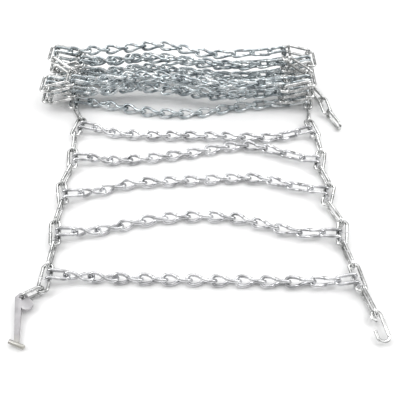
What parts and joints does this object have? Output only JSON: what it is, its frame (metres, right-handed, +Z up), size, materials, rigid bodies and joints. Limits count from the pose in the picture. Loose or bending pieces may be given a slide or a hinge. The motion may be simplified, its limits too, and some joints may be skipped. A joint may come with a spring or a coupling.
{
  "type": "tire snow chain",
  "caption": "Ladder tire snow chain: twisted-link cross chains hooked between two side chains, with a lever fastener and an end hook, partly laid out and partly bundled.",
  "frame": {"origin": "middle of the whole model's bounding box, on the floor it lies on", "axes": "+X from the side with the lever towards the side with the end hook, +Y from the fastener ends towards the bundle, +Z up from the floor"},
  "size_m": [0.3988, 0.459, 0.0612],
  "materials": {
    "zinc_cross_chain": "bright blue-grey zinc plating",
    "zinc_side_chain": "bright zinc plating",
    "zinc_lever": "satin zinc plating"
  },
  "bodies": {
    "bundle": {"bundle_cross_chain_6": "zinc_cross_chain", "bundle_cross_chain_7": "zinc_cross_chain", "bundle_cross_chain_8": "zinc_cross_chain", "bundle_cross_chain_9": "zinc_cross_chain", "bundle_cross_chain_10": "zinc_cross_chain", "bundle_cross_chain_11": "zinc_cross_chain", "bundle_cross_chain_12": "zinc_cross_chain", "bundle_cross_chain_13": "zinc_cross_chain", "bundle_cross_chain_14": "zinc_cross_chain", "bundle_cross_chain_15": "zinc_cross_chain", "bundle_cross_chain_16": "zinc_cross_chain", "bundle_cross_hooks_left": "zinc_cross_chain", "bundle_cross_hooks_right": "zinc_cross_chain", "bundle_hooked_links_left": "zinc_side_chain", "bundle_hooked_links_right": "zinc_side_chain", "bundle_free_links_left": "zinc_side_chain", "bundle_free_links_right": "zinc_side_chain"},
    "free_links_5": {"free_link_left_5": "zinc_side_chain", "free_link_right_5": "zinc_side_chain"},
    "rung_5": {"hooked_link_left_5": "zinc_side_chain", "hooked_link_right_5": "zinc_side_chain", "cross_hooks_5": "zinc_cross_chain"},
    "chain_5": {"cross_chain_5": "zinc_cross_chain"},
    "free_links_4": {"free_link_left_4": "zinc_side_chain", "free_link_right_4": "zinc_side_chain"},
    "rung_4": {"hooked_link_left_4": "zinc_side_chain", "hooked_link_right_4": "zinc_side_chain", "cross_hooks_4": "zinc_cross_chain"},
    "chain_4": {"cross_chain_4": "zinc_cross_chain"},
    "free_links_3": {"free_link_left_3": "zinc_side_chain", "free_link_right_3": "zinc_side_chain"},
    "rung_3": {"hooked_link_left_3": "zinc_side_chain", "hooked_link_right_3": "zinc_side_chain", "cross_hooks_3": "zinc_cross_chain"},
    "chain_3": {"cross_chain_3": "zinc_cross_chain"},
    "free_links_2": {"free_link_left_2": "zinc_side_chain", "free_link_right_2": "zinc_side_chain"},
    "rung_2": {"hooked_link_left_2": "zinc_side_chain", "hooked_link_right_2": "zinc_side_chain", "cross_hooks_2": "zinc_cross_chain"},
    "chain_2": {"cross_chain_2": "zinc_cross_chain"},
    "free_links_1": {"free_link_left_1": "zinc_side_chain", "free_link_right_1": "zinc_side_chain"},
    "rung_1": {"hooked_link_left_1": "zinc_side_chain", "hooked_link_right_1": "zinc_side_chain", "cross_hooks_1": "zinc_cross_chain"},
    "chain_1": {"cross_chain_1": "zinc_cross_chain"},
    "keeper_ring": {"keeper_ring": "zinc_side_chain"},
    "fastener_lever": {"fastener_lever": "zinc_lever"},
    "end_link_right": {"end_link_right": "zinc_side_chain"},
    "end_hook": {"end_hook": "zinc_side_chain"},
    "tail_link_1": {"tail_link_1": "zinc_side_chain"},
    "tail_link_2": {"tail_link_2": "zinc_side_chain"},
    "tail_link_3": {"tail_link_3": "zinc_side_chain"}
  },
  "joints": [
    {"name": "free_links_5_lift", "type": "hinge", "parent": "bundle", "child": "free_links_5", "pos_m": [0.00178, 0.14326, 0.00749], "axis": [-1, 0.0003, 0], "range_deg": [0, 20]},
    {"name": "rung_5_lift", "type": "hinge", "parent": "free_links_5", "child": "rung_5", "pos_m": [0.0076, 0.1179, 0.00749], "axis": [-0.9999, 0.0113, 0], "range_deg": [0, 20]},
    {"name": "cross_chain_5_lift", "type": "hinge", "parent": "rung_5", "child": "chain_5", "pos_m": [0.0086, 0.09419, 0.00875], "axis": [-0.9992, 0.0392, 0], "range_deg": [0, 8]},
    {"name": "free_links_4_lift", "type": "hinge", "parent": "rung_5", "child": "free_links_4", "pos_m": [0.00821, 0.08277, 0.00749], "axis": [-0.9999, 0.0101, 0], "range_deg": [0, 20]},
    {"name": "rung_4_lift", "type": "hinge", "parent": "free_links_4", "child": "rung_4", "pos_m": [0.01046, 0.05561, 0.00749], "axis": [-0.9999, 0.0103, 0], "range_deg": [0, 20]},
    {"name": "cross_chain_4_lift", "type": "hinge", "parent": "rung_4", "child": "chain_4", "pos_m": [0.00952, 0.03999, 0.00875], "axis": [1, -0.0073, 0], "range_deg": [0, 8]},
    {"name": "free_links_3_lift", "type": "hinge", "parent": "rung_4", "child": "free_links_3", "pos_m": [0.0086, 0.0203, 0.00749], "axis": [-1, 0.0088, 0], "range_deg": [0, 20]},
    {"name": "rung_3_lift", "type": "hinge", "parent": "free_links_3", "child": "rung_3", "pos_m": [0.00924, -0.00609, 0.00749], "axis": [-1, 0.0083, 0], "range_deg": [0, 20]},
    {"name": "cross_chain_3_lift", "type": "hinge", "parent": "rung_3", "child": "chain_3", "pos_m": [0.00968, -0.01868, 0.00875], "axis": [0.9997, 0.024, 0], "range_deg": [0, 8]},
    {"name": "free_links_2_lift", "type": "hinge", "parent": "rung_3", "child": "free_links_2", "pos_m": [0.00802, -0.0408, 0.00749], "axis": [-1, 0.0068, 0], "range_deg": [0, 20]},
    {"name": "rung_2_lift", "type": "hinge", "parent": "free_links_2", "child": "rung_2", "pos_m": [0.01315, -0.06676, 0.00749], "axis": [-1, -0.0005, 0], "range_deg": [0, 20]},
    {"name": "cross_chain_2_lift", "type": "hinge", "parent": "rung_2", "child": "chain_2", "pos_m": [0.01264, -0.08399, 0.00875], "axis": [1, -0.0058, 0], "range_deg": [0, 8]},
    {"name": "free_links_1_lift", "type": "hinge", "parent": "rung_2", "child": "free_links_1", "pos_m": [0.01253, -0.10212, 0.00749], "axis": [-1, -0.0011, 0], "range_deg": [0, 20]},
    {"name": "rung_1_lift", "type": "hinge", "parent": "free_links_1", "child": "rung_1", "pos_m": [0.01498, -0.12895, 0.00749], "axis": [-1, -0.0027, 0], "range_deg": [0, 20]},
    {"name": "cross_chain_1_lift", "type": "hinge", "parent": "rung_1", "child": "chain_1", "pos_m": [0.0161, -0.14885, 0.00875], "axis": [0.9996, -0.0271, 0], "range_deg": [0, 8]},
    {"name": "keeper_ring_swing", "type": "hinge", "parent": "rung_1", "child": "keeper_ring", "pos_m": [-0.14621, -0.16081, 0.00749], "axis": [0, 0, 1], "range_deg": [-25, 25]},
    {"name": "fastener_lever_swing", "type": "hinge", "parent": "keeper_ring", "child": "fastener_lever", "pos_m": [-0.1647, -0.17236, 0.00749], "axis": [0, 0, 1], "range_deg": [-40, 40]},
    {"name": "end_link_right_lift", "type": "hinge", "parent": "rung_1", "child": "end_link_right", "pos_m": [0.17944, -0.16404, 0.00749], "axis": [-0.9925, -0.1219, 0], "range_deg": [0, 30]},
    {"name": "end_hook_swing", "type": "hinge", "parent": "end_link_right", "child": "end_hook", "pos_m": [0.18757, -0.19445, 0.00749], "axis": [0, 0, 1], "range_deg": [-40, 40]},
    {"name": "tail_link_1_swing", "type": "hinge", "parent": "bundle", "child": "tail_link_1", "pos_m": [0.16727, 0.19438, 0.00749], "axis": [0, 0, 1], "range_deg": [-5, 15]},
    {"name": "tail_link_2_swing", "type": "hinge", "parent": "tail_link_1", "child": "tail_link_2", "pos_m": [0.1824, 0.16194, 0.00749], "axis": [0, 0, 1], "range_deg": [-10, 20]},
    {"name": "tail_link_3_lift", "type": "hinge", "parent": "tail_link_2", "child": "tail_link_3", "pos_m": [0.18569, 0.13067, 0.00749], "axis": [-0.9945, -0.1045, 0], "range_deg": [0, 35]}
  ]
}
